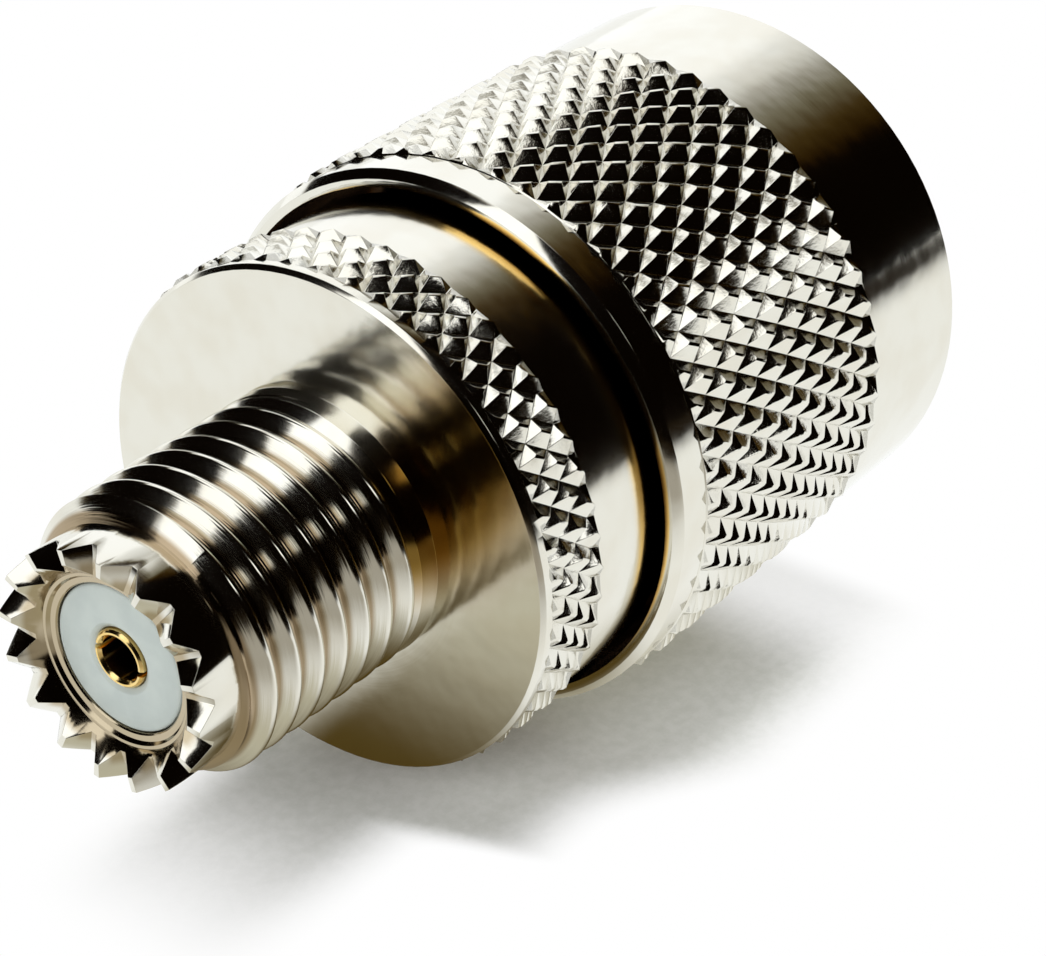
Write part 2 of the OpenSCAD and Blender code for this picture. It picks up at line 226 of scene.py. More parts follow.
def soften(piece, width, segments=2):
    """Breaks the sharp edges with a small bevel and smooths the shading."""
    finish_with(piece, "BEVEL", width=width * MM, segments=segments, limit_method="ANGLE",
                angle_limit=math.radians(BEVEL_ANGLE), use_clamp_overlap=True)
    smooth(piece)


def knurl_outline(start, end, spans, root, start_r, end_r):
    """Outline of a knurl before it is cut: its two ends, and the rows of crests between the run-outs."""
    first, last = start + KNURL_RUNOUT, end - KNURL_RUNOUT
    rows = [(first + (last - first) * k / spans, root) for k in range(spans + 1)]
    return [(start, start_r)] + rows + [(end, end_r)]


def cut_diamonds(piece, start, end, spans, diamonds, root, crest, seed):
    """Lifts every second vertex of a knurl's rows, folds the faces along the grooves and cuts the tips to ridges."""
    peak = root + (crest - root) / (1 - KNURL_LAND)
    first = start + KNURL_RUNOUT
    step = (end - start - 2 * KNURL_RUNOUT) / spans
    turn = math.pi / diamonds
    row_slack, root_slack = 0.1, 0.05

    def parity(vertex):
        """0 for a crest, 1 for a groove and None away from the knurl."""
        x, y, z = vertex.co / MM
        row = (x - first) / step
        if not (-row_slack < row < spans + row_slack and root - root_slack < math.hypot(y, z)):
            return None
        return (round(row) + round(math.atan2(y, z) / turn)) % 2

    def is_crest(vertex):
        return parity(vertex) == 0

    def is_groove(vertex):
        return parity(vertex) == 1

    choose(piece)
    edit_some(piece, is_crest, bpy.ops.transform.resize, value=(1, peak / root, peak / root), center_override=CENTRE)
    edit_some(piece, is_groove, bpy.ops.mesh.vert_connect)
    edit_some(piece, is_crest, bpy.ops.mesh.bevel, offset_type="PERCENT", offset_pct=100 * KNURL_LAND, segments=1,
              affect="VERTICES")

    # Each tip now has a square of four corners, which is squeezed to a ridge along one of the grooves.
    chance = random.Random(seed)
    for vertex in piece.data.vertices:
        x, y, z = vertex.co / MM
        radius = math.hypot(y, z)
        if not (start < x < end and radius > (root + 2 * crest) / 3):
            continue
        along, about = (x - first) / step, math.atan2(y, z) / turn
        row, column = round(along), round(about)
        if (row + column) % 2:
            if abs(along - row) > abs(about - column):
                row += int(math.copysign(1, along - row))
            else:
                column += int(math.copysign(1, about - column))
        lean = (along - row + about - column) / 2 * KNURL_RIDGE
        fold = (along - row - about + column) / 2
        place = first + (row + lean + fold) * step + chance.uniform(-KNURL_SCATTER, KNURL_SCATTER)
        angle = (column + lean - fold) * turn
        radius = min(radius, crest) * (1 - chance.random() * KNURL_WEAR)
        vertex.co = Vector((place, radius * math.sin(angle), radius * math.cos(angle))) * MM


def thread_profile(crest, depth, pitch, crest_round, root_round, steps=4):
    """One pitch of a thread from root to root, with round roots and crests and straight flanks between them."""
    root = crest - depth
    turns = [math.radians(ROUND_TURN) * i / steps for i in range(steps + 1)]
    half = [(root_round * math.sin(a), root + root_round * (1 - math.cos(a))) for a in turns]
    half += [(pitch / 2 - crest_round * math.sin(a), crest - crest_round * (1 - math.cos(a)))
             for a in reversed(turns)]
    return half + [(pitch - x, r) for x, r in reversed(half[:-1])]


def thread_tube(name, profile, start, end, pitch, phase, steps):
    """A thread profile wound along the axis, cut square at both ends and closed."""
    turns = math.ceil((end - start) / pitch) + 2
    piece = draw_line(name, [(start - pitch + phase * pitch + x, 0, r) for x, r in profile])
    wind(piece, pitch, turns, steps)
    for place, normal in ((start, -1), (end, 1)):
        choose(piece)
        edit_all(bpy.ops.mesh.bisect, plane_co=(place * MM, 0, 0), plane_no=(normal, 0, 0), use_fill=True,
                 clear_outer=True, threshold=MERGE * MM)
    close_up(piece)
    return piece


def combine(piece, other, operation):
    """Joins, cuts or trims a piece with another solid, which is used up."""
    finish_with(piece, "BOOLEAN", object=other, operation=operation, solver="EXACT", use_self=True)
    bpy.data.objects.remove(other, do_unlink=True)
    close_up(piece)


def join(pieces):
    """Makes the pieces one object, under the first one's name."""
    choose(pieces[0])
    for piece in pieces:
        piece.select_set(True)
    bpy.ops.object.join()
    return pieces[0]


def copies_round(piece, count):
    """Copies a piece round the axis, each copy with its own mesh, and joins them."""
    made = [piece]
    for number in range(1, count):
        choose(piece)
        bpy.ops.object.duplicate(linked=False)
        edit_all(bpy.ops.transform.rotate, value=math.tau * number / count, orient_axis="X", center_override=CENTRE)
        made.append(bpy.context.object)
    return join(made)


def block(name, corner):
    """A block made from a cube: corner(back, side, top) gives the place of each of its eight corners."""
    deselect()
    bpy.ops.mesh.primitive_cube_add(size=MM)
    piece = bpy.context.object
    piece.name = name
    for vertex in piece.data.vertices:
        vertex.co = Vector(corner(vertex.co.x > 0, math.copysign(1, vertex.co.y), vertex.co.z > 0)) * MM
    return piece


def crown():
    """The serrated ring at the front of the jack, with the open throat round the insulator."""
    ring = turned("jack_crown", [
        (CROWN_TIP, CROWN_INNER_R), (CROWN_TIP, CROWN_R), (CROWN_BACK, CROWN_R), (CROWN_BACK, BORE_R),
        (JACK_FACE + 0.02, BORE_R), (JACK_FACE - 0.03, BORE_R + 0.05)]
        + [(JACK_FACE - ahead, r) for ahead, r in THROAT], FINE_STEPS)
    flare = (math.tau * CROWN_R / CROWN_TEETH - TOOTH_LAND - NOTCH_FLOOR) / 2
    turn = Matrix.Rotation(math.radians(CROWN_TURN), 3, "X")

    def notch_corner(at_floor, side, outside):
        r = NOTCH_OUT_R if outside else NOTCH_IN_R
        floor_x = CROWN_TIP + NOTCH_DEPTH - (CROWN_R - r) * math.tan(math.radians(NOTCH_SLOPE))
        x = floor_x if at_floor else floor_x - NOTCH_DEPTH * NOTCH_REACH
        width = NOTCH_FLOOR / 2 + (0 if at_floor else flare * NOTCH_REACH)
        return turn @ Vector((x, side * width, r))

    combine(ring, copies_round(block("notch", notch_corner), CROWN_TEETH), "DIFFERENCE")
    soften(ring, 0.06, 3)
    return ring


def jack_thread():
    """The threaded barrel behind the crown, with a cone at its front."""
    profile = thread_profile(BARREL_R, THREAD_DEPTH, THREAD_PITCH, CREST_ROUND, ROOT_ROUND)
    barrel = thread_tube("jack_thread", profile, BARREL_FRONT - 0.1, THREAD_END, THREAD_PITCH, THREAD_PHASE,
                         THREAD_STEPS)
    blank_r, blank_end = BARREL_R + 0.02, THREAD_END + 1
    blank = turned("blank", [(BARREL_FRONT, BORE_R), (BARREL_FRONT, CROWN_R), (BARREL_CONE, blank_r),
                             (blank_end, blank_r), (blank_end, BORE_R)], 2 * THREAD_STEPS)
    combine(barrel, blank, "INTERSECT")
    smooth(barrel)
    return barrel


def flange():
    """Hub, flange with its knurled edge, guide and neck, turned in one piece."""
    body = turned("jack_flange", [
        (HUB_FRONT, HUB_FRONT_R), (HUB_CONE, HUB_R), (FLANGE_FRONT, HUB_FACE_R),
        (FLANGE_FRONT, LIP_R - LIP_BEVEL), (FLANGE_FRONT + LIP_BEVEL, LIP_R),
        *knurl_outline(LIP_END, FLANGE_KNURL_END, FLANGE_SPANS, FLANGE_ROOT_R, LIP_R, GUIDE_R + GUIDE_STEP),
        (FLANGE_KNURL_END + KNURL_RIM, GUIDE_R), (GUIDE_END - GUIDE_BEVEL, GUIDE_R),
        (GUIDE_END, GUIDE_R - GUIDE_BEVEL), (GUIDE_END, NECK_R), (NECK_END, NECK_R), (NECK_END, CAVITY_R),
        (CAVITY_END, CAVITY_R), (CAVITY_END, BACK_BORE_R), (HUB_FRONT, BACK_BORE_R)], 2 * FLANGE_DIAMONDS)
    cut_diamonds(body, LIP_END, FLANGE_KNURL_END, FLANGE_SPANS, FLANGE_DIAMONDS, FLANGE_ROOT_R, FLANGE_CREST_R,
                 FLANGE_SEED)
    soften(body, 0.045)
    return body


def nut():
    """The coupling nut: skirt, collar, knurl, plain band, and the thread inside."""
    rim_r = COLLAR_R + KNURL_RIM
    shell = turned("nut_shell", [
        (NUT_BACK, SKIRT_R), (NUT_BACK, COLLAR_R - COLLAR_BEVEL), (NUT_BACK + COLLAR_BEVEL_LEN, COLLAR_R),
        (NUT_KNURL - KNURL_RIM, COLLAR_R),
        *knurl_outline(NUT_KNURL, NUT_KNURL_END, NUT_SPANS, NUT_ROOT_R, rim_r, rim_r),
        (NUT_KNURL_END + KNURL_RIM, COLLAR_R), (NUT_MOUTH - BAND_BEVEL, COLLAR_R), (NUT_MOUTH, COLLAR_R - BAND_BEVEL),
        (NUT_MOUTH, NUT_THREAD_ROOT_R + MOUTH_BEVEL), (NUT_MOUTH - MOUTH_BEVEL, NUT_THREAD_ROOT_R),
        (NUT_THREAD, NUT_THREAD_ROOT_R), (NUT_THREAD - NUT_THREAD_LEAD, NUT_THREAD_CREST_R),
        (RING_GROOVE_END, NUT_THREAD_CREST_R), (RING_GROOVE_END, RING_GROOVE_R), (RING_GROOVE, RING_GROOVE_R),
        (RING_GROOVE, NUT_LIP_R), (SKIRT_END, NUT_LIP_R), (SKIRT_END, SKIRT_R)], 2 * NUT_DIAMONDS)
    cut_diamonds(shell, NUT_KNURL, NUT_KNURL_END, NUT_SPANS, NUT_DIAMONDS, NUT_ROOT_R, NUT_CREST_R, NUT_SEED)
    soften(shell, 0.045)
    return join([shell, nut_thread()])


def nut_thread():
    """The ridge of the nut's inside thread: one bar wound along the bore, closed at both ends."""
    crest, base = NUT_THREAD_CREST_R, NUT_THREAD_ROOT_R + NUT_THREAD_SUNK
    half_crest = 0.055 * THREAD_PITCH
    half_base = half_crest + (base - crest) * math.tan(math.radians(NUT_THREAD_FLANK))
    half = [(half_base, base), (half_crest + 0.025, crest + 0.035), (half_crest - 0.015, crest)]
    section = half + [(-x, r) for x, r in reversed(half)]
    ridge = draw_line("nut_thread", [(NUT_THREAD + x, 0, -r) for x, r in section + section[:1]])
    wind(ridge, THREAD_PITCH, NUT_THREAD_TURNS, PLAIN_STEPS)
    edit_all(bpy.ops.mesh.fill_holes, sides=0)
    close_up(ridge)
    smooth(ridge)
    return ridge


def jack_insulator():
    """The insulator in the jack, with a rounded edge and a shallow dish round the contact."""
    piece = turned("jack_dielectric", [
        (JACK_FACE + DISH_DEPTH, SOCKET_R + GAP), (JACK_FACE, SOCKET_R + DISH_W), (JACK_FACE, INSULATOR_R - 0.12),
        (JACK_FACE + 0.03, INSULATOR_R - 0.04), (JACK_FACE + 0.12, INSULATOR_R), (INSULATOR_STEP, INSULATOR_R),
        (INSULATOR_STEP, INSULATOR_STEP_R), (CAVITY_END, INSULATOR_STEP_R), (CAVITY_END, CONTACT_SEAT_R),
        (CONTACT_STEP, CONTACT_SEAT_R), (CONTACT_STEP, SOCKET_R + GAP)], PLAIN_STEPS)
    soften(piece, 0.03)
    return piece


def socket_contact():
    """The gold contact of the jack: a tube with a rounded lip, split by two slots, and its solid tail."""
    piece = turned("jack_contact", [
        (SOCKET_TIP + 0.1, SOCKET_BORE_R), (SOCKET_TIP, SOCKET_BORE_R + 0.1), (SOCKET_TIP, SOCKET_R - 0.08),
        (SOCKET_TIP + 0.08, SOCKET_R), (CONTACT_STEP, SOCKET_R), (CONTACT_STEP, CONTACT_STEP_R),
        (CONTACT_STEP_END, CONTACT_STEP_R), (CONTACT_STEP_END, TAIL_R), (TAIL_END, TAIL_R), (TAIL_END, 0),
        (JACK_FACE + SOCKET_DRILL_LEN, 0), (JACK_FACE + SOCKET_BORE_LEN, SOCKET_BORE_R)], PLAIN_STEPS)
    turn = Matrix.Rotation(math.radians(SLOT_TURN), 3, "X")

    def slot_corner(at_end, side, top):
        x = JACK_FACE + SLOT_LEN if at_end else JACK_FACE - SLOT_AHEAD
        return turn @ Vector((x, side * SLOT_REACH, SLOT_W / 2 if top else -SLOT_W / 2))

    combine(piece, block("slot", slot_corner), "DIFFERENCE")
    soften(piece, 0.02)
    return piece


def plug_shell():
    """The shell of the plug: a rim on a spigot, with two locating teeth on its face."""
    rim = turned("plug_rim", [(SHELL_BACK, SHELL_BORE_R), (SHELL_BACK, SPIGOT_R), (SHELL_RIM, SPIGOT_R),
                              (SHELL_RIM, SHELL_R), (0, SHELL_R), (0, SHELL_BORE_R)], FINE_STEPS)

    def tooth_corner(at_tip, side, outside):
        return (SHELL_TOOTH_H if at_tip else -SHELL_TOOTH_SUNK, side * SHELL_TOOTH_W / 2,
                SHELL_TOOTH_OUT if outside else SHELL_TOOTH_IN)

    combine(rim, copies_round(block("tooth", tooth_corner), 2), "UNION")
    soften(rim, 0.09, 3)
    return rim


def plug_insulator():
    """The insulator of the plug, stepped to sit behind the spigot."""
    piece = turned("plug_dielectric", [
        (CAVITY_END, SHANK_R + GAP), (CAVITY_END, SPIGOT_R), (SHELL_BACK - GAP, SPIGOT_R),
        (SHELL_BACK - GAP, SHELL_BORE_R - GAP), (0, SHELL_BORE_R - GAP), (0, SHANK_R + GAP)], PLAIN_STEPS)
    soften(piece, 0.1, 3)
    return piece


def plug_pin():
    """The centre pin of the plug, with a round tip and a drilled shank."""
    piece = turned("plug_centre_pin", [
        (SHANK_BACK, PIN_DRILL_R), (SHANK_BACK, SHANK_R), (0, SHANK_R), (0, PIN_R),
        *rounded(PIN_TIP, PIN_R, PIN_ROUND, 12), (PIN_TIP, 0), (PIN_DRILL_END, 0), (PIN_DRILL_END, PIN_DRILL_R)],
        PLAIN_STEPS)
    soften(piece, 0.04)
    return piece


def retaining_ring():
    """The split ring that holds the nut on the neck."""
    ring = turned("split_ring", [(RING_BACK, RING_BORE_R), (RING_BACK, RING_R), (RING_FRONT, RING_R),
                                 (RING_FRONT, RING_BORE_R)], FINE_STEPS)

    def cut_corner(front, side, top):
        return RING_FRONT + 1 if front else RING_BACK - 1, side * RING_OPENING / 2, -1 if top else -RING_R - 1

    combine(ring, block("cut", cut_corner), "DIFFERENCE")
    soften(ring, 0.08)
    return ring


class Socket:
    """A shader socket that takes arithmetic: each operation adds one Math node."""

    def __init__(self, sheet, socket):
        self.sheet, self.socket = sheet, socket

    def math(self, operation, other=0.0):
        return self.sheet.node("ShaderNodeMath", {"operation": operation}, {0: self, 1: other})

    def __add__(self, other):
        return self.math("ADD", other)

    def __sub__(self, other):
        return self.math("SUBTRACT", other)

    def __mul__(self, other):
        return self.math("MULTIPLY", other)

    def __rsub__(self, other):
        return self.sheet.node("ShaderNodeMath", {"operation": "SUBTRACT"}, {0: other, 1: self})

    __radd__, __rmul__ = __add__, __mul__

    def rise(self, low, high):
        """0 below low, 1 above high and smooth between them."""
        return self.sheet.node("ShaderNodeMapRange", {"interpolation_type": "SMOOTHSTEP"},
                               {"Value": self, "From Min": low, "From Max": high})

    def between(self, low, high, soft):
        """1 between low and high, falling to 0 over soft on both sides."""
        return self.rise(low - soft, low + soft) * (1 - self.rise(high - soft, high + soft))

    def sway(self, amount):
        """A noise as a change by up to half the amount, up or down."""
        return amount * (self - 0.5)


class Sheet:
    """The node tree of one material or of the world."""

    def __init__(self, tree):
        self.tree = tree
        tree.nodes.clear()

    def node(self, kind, settings=None, inputs=None, output=0):
        """Adds a node with its settings, and with values or links for its inputs, and gives one of its outputs."""
        made = self.tree.nodes.new(kind)
        for name, value in (settings or {}).items():
            if name == "stops":
                ramp = made.color_ramp.elements
                for number, (place, colour) in enumerate(value):
                    stop = ramp[number] if number < 2 else ramp.new(place)
                    stop.position, stop.color = place, (*colour, 1)
            else:
                setattr(made, name, value)
        for name, value in (inputs or {}).items():
            if isinstance(value, Socket):
                self.tree.links.new(value.socket, made.inputs[name])
            else:
                made.inputs[name].default_value = value
        return Socket(self, made.outputs[output]) if made.outputs else made

    def colour(self, mask, first, second):
        """First where the mask is 0, second where it is 1."""
        first = first if isinstance(first, Socket) else (*first, 1)
        second = second if isinstance(second, Socket) else (*second, 1)
        return self.node("ShaderNodeMix", {"data_type": "RGBA"}, {0: mask, 6: first, 7: second}, 2)

    def parts(self, vector):
        """The three parts of a vector."""
        return (self.node("ShaderNodeSeparateXYZ", None, {0: vector}, part) for part in range(3))

    def place(self):
        """Object coordinates in millimetres, as a vector, and its parts: station, radius and both sides."""
        coordinates = self.node("ShaderNodeTexCoord", output="Object")
        spot = self.node("ShaderNodeVectorMath", {"operation": "SCALE"}, {0: coordinates, "Scale": 1 / MM})
        x, y, z = self.parts(spot)
        radius = (y * y + z * z).math("SQRT")
        return spot, x, radius, y, z

    def path(self, x, radius):
        """Station and radius as a vector, along which a noise lies in rings."""
        return self.node("ShaderNodeCombineXYZ", None, {"X": x, "Y": radius})

    def noise(self, vector, scale, detail=2.0, roughness=0.5):
        """A noise between 0 and 1."""
        return self.node("ShaderNodeTexNoise", None,
                         {"Vector": vector, "Scale": scale, "Detail": detail, "Roughness": roughness})

    def bump(self, height, distance, **under):
        """A bumped normal, on top of another one that is given as Normal."""
        return self.node("ShaderNodeBump", None,
                         {"Height": height, "Distance": distance * MM, "Strength": 1.0, **under})

    def surface(self, **inputs):
        """The finished principled surface, linked to the output."""
        made = self.node("ShaderNodeBsdfPrincipled", None, {n.replace("_", " "): v for n, v in inputs.items()})
        self.node("ShaderNodeOutputMaterial", None, {"Surface": made})


def material(name):
    """A new material and the sheet of its nodes."""
    made = bpy.data.materials.new(name)
    made.use_nodes = True
    return made, Sheet(made.node_tree)


def nickel(name, rough, lines=PLATE_LINES, drift=1.0, recess=None, painted_light_mask=None, painted_light_colour=None, cut=None):
    """Bright nickel plate with turning lines and slow waves; recess lays a painted reflection and shade into a gap,
    the painted light mask lays painted shade and reflection in its own colour, and cut tells where it is knurled.
    """
    made, sheet = material(name)
    spot, x, radius, y, z = sheet.place()
    fine = sheet.noise(sheet.path(x * drift, radius), 9.0, detail=3.0, roughness=0.6)
    slow = sheet.noise(spot, 0.55)
    grain = sheet.noise(spot, 14.0)
    tint = sheet.colour(slow.rise(0.35, 0.7), (0.785, 0.763, 0.682), (0.755, 0.722, 0.628))
    if recess:
        depth = recess(x, radius)
        # Painted reflection and shade: pale, then a gold band, then near black deeper into the gap
        gap_reflection_and_shade = sheet.node("ShaderNodeValToRGB", {"stops": [
            (0.0, (0.80, 0.74, 0.60)), (1.0, (0.02, 0.010, 0.004)), (0.35, (0.92, 0.63, 0.22)),
            (0.6, (0.50, 0.29, 0.07)), (0.8, (0.08, 0.035, 0.008))]}, {"Fac": depth + grain.sway(0.1)})
        tint = sheet.colour(depth.rise(0.0, 0.3), tint, gap_reflection_and_shade)
    # Painted shade and reflection in the given colour, where the mask says
    if painted_light_mask:
        tint = sheet.colour(painted_light_mask(x, radius, y, z), tint, painted_light_colour)
    height = slow
    if cut:
        height = slow + CUT_MARKS * cut(x, radius) * sheet.noise(spot, 6.0, detail=3.0, roughness=0.6)
    waves = sheet.bump(height, PLATE_WAVE)
    sheet.surface(Base_Color=tint, Metallic=1.0, Roughness=rough + slow.sway(0.05) + grain.sway(0.06),
                  Normal=sheet.bump(fine, lines, Normal=waves))
    return made


def throat_shade(x, radius, y, z):
    """Where the crown's inside, behind the tips, gets painted shade."""
    return (1 - radius.rise(3.3, 3.7)) * x.rise(-22.7, -22.5)


def root_shade(x, radius, y, z):
    """Where the jack's thread gets painted shade: down in its roots."""
    return 1 - radius.rise(4.27, 4.46)


def face_reflection(x, radius, y, z):
    """Where the flange's face gets a painted brown reflection, beside the barrel."""
    small, large = 0.347, 0.938
    turn = (y * -small - z * large).math("ARCTAN2", y * -large + z * small) * DEGREE
    beside = turn.rise(-45.0, -24.0) * (1 - (turn + 6.5 * (radius - 6.0)).rise(2.0, 34.0))
    return beside * (1 - x.rise(-12.75, -12.65))


def guide_recess(x, radius):
    """How far the guide has gone into the gap under the nut's skirt, which sets its painted reflection and shade."""
    return x.rise(-8.1, -6.6)


def skirt_recess(x, radius):
    """How far the inside of the nut's skirt has gone into the gap, which sets its painted reflection and shade."""
    return x.rise(-6.75, -6.1) * (1 - radius.rise(9.13, 9.2)) * (1 - x.rise(-3.4, -3.0))


def flange_cut(x, radius):
    """Where the flange is knurled."""
    return x.rise(-12.3, -12.2) * (1 - x.rise(-9.9, -9.8))


def nut_cut(x, radius):
    """Where the nut is knurled."""
    return x.rise(-5.3, -5.2) * (1 - x.rise(5.1, 5.2)) * radius.rise(9.2, 9.3)


def gold():
    """Gold plate, with painted shade dark down in the bore."""
    made, sheet = material("gold_plate")
    spot, x, radius, *_ = sheet.place()
    slow = sheet.noise(spot, 2.5)
    tint = sheet.colour(slow.rise(0.3, 0.7), (0.93, 0.70, 0.30), (0.86, 0.60, 0.22))
    # Painted shade: the bore darkens to brown-black behind its lip
    inside = (1 - radius.rise(SOCKET_BORE_R, SOCKET_BORE_R + 0.06)) * x.rise(SOCKET_TIP + 0.1, SOCKET_TIP + 0.7)
    tint = sheet.colour(inside, tint, (0.10, 0.045, 0.01))
    sheet.surface(Base_Color=tint, Metallic=1.0, Roughness=0.16 + slow.sway(0.1),
                  Normal=sheet.bump(sheet.noise(sheet.path(x, radius), 16.0), 0.0012))
    return made


def plastic():
    """Pale blue-grey plastic, slightly cloudy, with faint rings and specks."""
    made, sheet = material("insulator_plastic")
    spot, x, radius, *_ = sheet.place()
    cloud = sheet.noise(spot, 1.1, detail=3.0)
    speck = sheet.noise(spot, 18.0)
    tint = sheet.colour(cloud.rise(0.3, 0.75), (0.545, 0.605, 0.588), (0.60, 0.66, 0.635))
    height = sheet.noise(sheet.path(x, radius), 11.0) * 0.5 + speck * 0.5
    sheet.surface(Base_Color=tint, Roughness=0.42 + speck.sway(0.14), Normal=sheet.bump(height, 0.006),
                  Specular_IOR_Level=0.4)
    return made


def steel():
    """Dark spring steel."""
    made, sheet = material("spring_steel")
    spot, *_ = sheet.place()
    slow = sheet.noise(spot, 1.2)
    tint = sheet.colour(slow, (0.10, 0.095, 0.09), (0.15, 0.145, 0.135))
    sheet.surface(Base_Color=tint, Metallic=1.0, Roughness=0.3 + slow.sway(0.1),
                  Normal=sheet.bump(sheet.noise(spot, 12.0), 0.003))
    return made


def paper():
    """The pale floor. It is matt under the object, white to the camera beyond a painted shadow outline, and a painted
    map of shade to mirrors.
    """
    made, sheet = material("floor_paper")
    spot, x, _, y, _ = sheet.place()
    grain = sheet.noise(spot, 2.2, detail=4.0, roughness=0.7)
    tint = sheet.colour(grain.rise(0.3, 0.7), (0.80, 0.815, 0.78), (0.90, 0.91, 0.885))
    matt = sheet.node("ShaderNodeBsdfDiffuse", None, {"Color": tint})

    # The part that keeps the object's shadow: a painted outline, inside which the camera sees the matt floor and its
    # lamp shadow, fading towards the mouth, and outside which it sees plain white; wider under the flange and the nut
    # than under the barrel
    across = y.math("ABSOLUTE")
    half = 3.4 + 4.1 * x.rise(-14.2, -11.8) + 3.0 * x.rise(-10.0, -3.0)
    shaded = (1 - (across - half).rise(-1.6, 1.6)) * x.rise(-24.0, -13.5)
    shaded = shaded * (1 - 0.72 * x.rise(0.5, 5.5)) * (1 - x.rise(6.4, 8.2))

    # What the metal mirrors is a painted emission map: painted shade under the object, darkest below the flange, and a
    # painted darker front and far side
    near = 1 - y.rise(1.2, 4.2)
    under = near * (1 - (across - 8.0).rise(-3.0, 3.0)) * x.rise(-46.0, -26.0) * (1 - x.rise(6.0, 10.0))
    core = near * (1 - (across - 7.0).rise(-4.0, 5.0)) * x.rise(-24.5, -14.5) * (1 - x.rise(-10.0, -2.0))
    front_x, front_y = 0.81, 0.59
    ahead = x * -front_x - y * front_y
    aside = (x * front_y - y * front_x).math("ABSOLUTE")
    front = ahead.rise(18.0, 44.0) * (1 - (aside - ahead * 0.5).rise(0.0, 30.0))
    distance = (x * x + y * y).math("SQRT")
    far = distance.rise(60.0, 150.0) * (1 - (x * 0.64 + y * 0.77).rise(0.0, 50.0))
    mirrored = sheet.colour(under, (1.03, 1.05, 1.05), (0.60, 0.58, 0.47))
    mirrored = sheet.colour(front * 0.85, mirrored, (0.33, 0.30, 0.24))
    mirrored = sheet.colour(core, mirrored, (0.09, 0.06, 0.015))
    mirrored = sheet.colour(far, mirrored, (0.012, 0.007, 0.002))

    seen = sheet.node("ShaderNodeLightPath", output="Is Camera Ray")
    glossy = sheet.node("ShaderNodeLightPath", output="Is Glossy Ray")
    shine = sheet.node("ShaderNodeEmission", None, {"Color": sheet.colour(glossy, (1, 1, 1), mirrored)})
    shown = sheet.node("ShaderNodeMixShader", None, {0: seen * (1 - 0.94 * shaded) + glossy, 1: matt, 2: shine})
    sheet.node("ShaderNodeOutputMaterial", None, {"Surface": shown})
    return made


def studio():
    """The world that metal mirrors: a white backdrop, a panel on the left and overhead, a small window, else dark."""
    world = bpy.data.worlds.new("studio")
    bpy.context.scene.world = world
    world.use_nodes = True
    sheet = Sheet(world.node_tree)
    x, y, z = sheet.parts(sheet.node("ShaderNodeTexCoord", output="Generated"))
    height = z.math("ARCSINE") * DEGREE
    round_about = y.math("ARCTAN2", x) * DEGREE

    start = round_about - 10.0 * height.rise(35.0, 46.0)
    end = round_about - 26.0 * height.rise(32.0, 42.0) - 50.0 * (1 - height.rise(4.0, 12.0))
    backdrop = start.rise(-26.0, 24.0) * (1 - end.rise(52.0, 64.0)) * (1 - height.rise(55.0, 61.0))

    overhead = (height + 5.2 * x + 19.3 * y).rise(66.0, 76.0)
    turn = math.radians(168)
    across = y * math.cos(turn) - x * math.sin(turn)
    along = x * math.cos(turn) + y * math.sin(turn)
    from_left = across.math("ARCTAN2", along) * DEGREE
    low_side = from_left + 7.0 * height.rise(30.0, 40.0)
    high_side = from_left - 12.0 * height.rise(28.0, 38.0) + 5.0 * (1 - height.rise(4.0, 14.0))
    left = low_side.rise(-18.0, -13.0) * (1 - high_side.rise(8.0, 12.0))
    window = (1 - (round_about + 99.0).math("ABSOLUTE").rise(10.0, 14.0)) * height.between(36.0, 47.0, 2.0)
    panel = overhead.math("MAXIMUM", left).math("MAXIMUM", window)

    light = sheet.node("ShaderNodeValToRGB", {"stops": [
        (0.0, (0.002, 0.001, 0.0003)), (1.0, (1.22, 1.25, 1.29)), (0.012, (0.022, 0.010, 0.001)),
        (0.104, (0.057, 0.034, 0.007)), (0.295, (0.172, 0.156, 0.103)), (0.53, (0.41, 0.40, 0.36)),
        (0.758, (0.80, 0.81, 0.80)), (0.932, (0.97, 0.99, 1.0))]}, {"Fac": backdrop.math("MAXIMUM", panel)})
    bright = sheet.colour(panel, light, (1.42, 1.45, 1.48))
    mirrored, fill, white = (sheet.node("ShaderNodeBackground", None, {"Color": colour})
                             for colour in (bright, (0.17, 0.17, 0.165, 1), (1, 1, 1, 1)))
    matt = sheet.node("ShaderNodeLightPath", output="Is Diffuse Ray")
    seen = sheet.node("ShaderNodeLightPath", output="Is Camera Ray")
    lit = sheet.node("ShaderNodeMixShader", None, {0: matt, 1: mirrored, 2: fill})
    shown = sheet.node("ShaderNodeMixShader", None, {0: seen, 1: lit, 2: white})
    sheet.node("ShaderNodeOutputWorld", None, {"Surface": shown})


def floor():
    """A round sheet of paper under the object, with a narrow border."""
    deselect()
    bpy.ops.mesh.primitive_circle_add(vertices=96, radius=FLOOR_R * MM, fill_type="NGON", location=(0, 0, cad_low.z))
    sheet = bpy.context.object
    sheet.name = "paper_floor"
    bpy.ops.object.transform_apply(location=True)
    edit_all(bpy.ops.mesh.inset, thickness=FLOOR_RIM * MM)
    sheet.data.materials.append(paper())


def stand(name, data, place, direction):
    """Puts a lamp or the camera in its place, looking along the direction."""
    made = bpy.data.objects.new(name, data)
    bpy.context.collection.objects.link(made)
    made.location = Vector(place) * MM
    made.rotation_euler = Vector(direction).to_track_quat("-Z", "Y").to_euler()
    return made


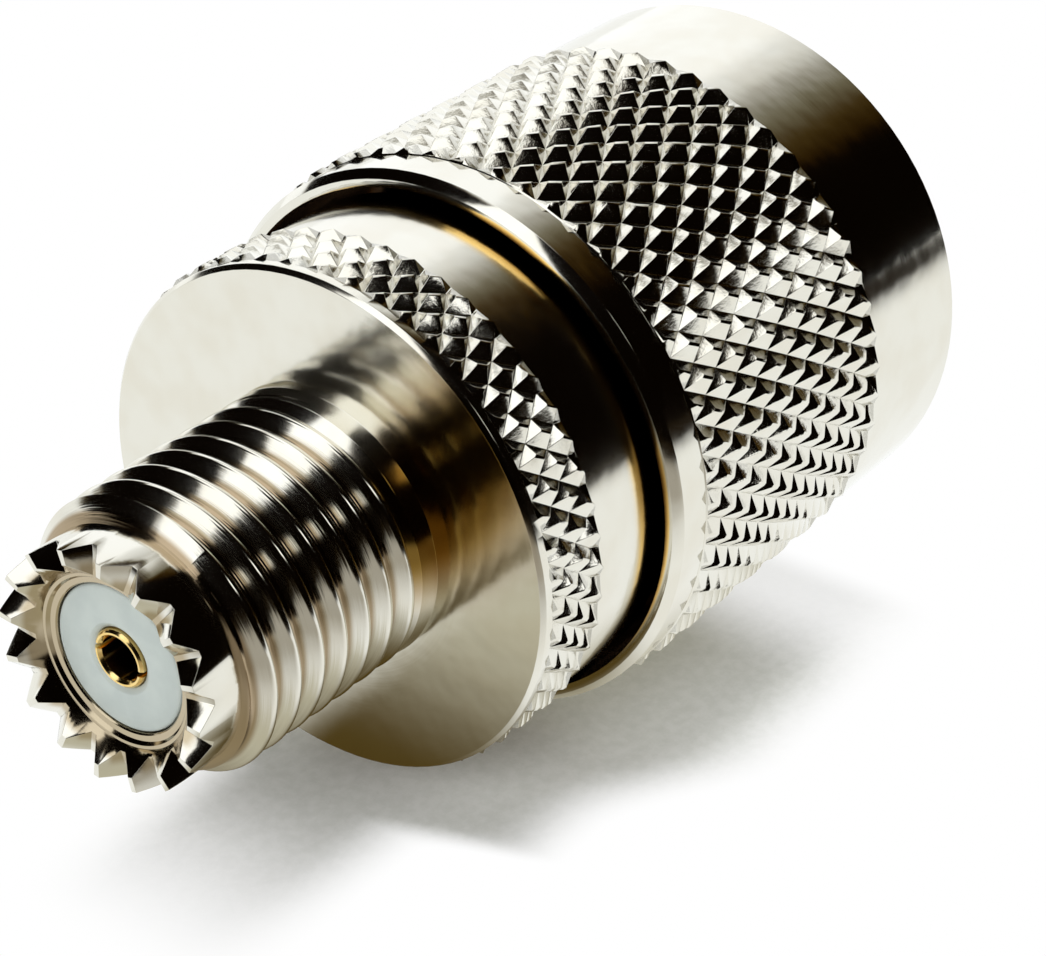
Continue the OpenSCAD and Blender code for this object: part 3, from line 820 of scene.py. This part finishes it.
def lamp(name, place, size, power):
    """A soft square lamp on the object that lights matt surfaces; the metal mirrors the studio panels instead."""
    data = bpy.data.lights.new(name, "AREA")
    data.shape, data.size, data.energy = "SQUARE", size * MM, power
    stand(name, data, place, -Vector(place)).visible_glossy = False


def camera():
    """The camera where the photograph was taken from."""
    data = bpy.data.cameras.new("camera")
    data.lens, data.sensor_width, data.sensor_fit = CAMERA_LENS, SENSOR_W, "HORIZONTAL"
    data.clip_start = CLIP_START * MM
    bpy.context.scene.camera = stand("camera", data, CAMERA_PLACE, CAMERA_AIM)


def fit(piece, body, nodes, finish):
    """Gives a finished piece its material and body, and hides the CAD nodes that it stands for."""
    piece.data.materials.clear()
    piece.data.materials.append(finish)
    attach(piece, body)
    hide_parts(*nodes)


bright = nickel("bright_nickel", 0.10)
# Painted light: the crown and thread finishes carry painted shade, the face finish a painted reflection, and the face
# and sleeve finishes a painted reflection and shade in the gap
crowned = nickel("crown_nickel", 0.10, painted_light_mask=throat_shade, painted_light_colour=(0.50, 0.42, 0.29))
threaded = nickel("thread_nickel", 0.11, THREAD_LINES, 0.15, painted_light_mask=root_shade, painted_light_colour=(0.40, 0.31, 0.20))
faced = nickel("faced_nickel", 0.13, recess=guide_recess, painted_light_mask=face_reflection, painted_light_colour=(0.36, 0.22, 0.05), cut=flange_cut)
sleeved = nickel("sleeve_nickel", 0.10, recess=skirt_recess, cut=nut_cut)
moulding = plastic()
fit(crown(), "adapter_body", ["jack_body"], crowned)
fit(jack_thread(), "adapter_body", ["jack_body"], threaded)
fit(flange(), "adapter_body", ["jack_body"], faced)
fit(nut(), "nut", ["coupling_nut"], sleeved)
fit(jack_insulator(), "adapter_body", ["jack_insulator"], moulding)
fit(socket_contact(), "adapter_body", ["socket_contact"], gold())
fit(plug_shell(), "adapter_body", ["plug_shell"], bright)
fit(plug_pin(), "adapter_body", ["plug_pin"], bright)
fit(plug_insulator(), "adapter_body", ["plug_insulator"], moulding)
fit(retaining_ring(), "ring", ["retaining_ring"], steel())

studio()
floor()
lamp("soft_top", place=(30, 12, 300), size=140, power=0.66)
lamp("soft_front", place=(-220, -60, 160), size=120, power=0.31)
camera()
bpy.context.scene.view_settings.view_transform = "Standard"
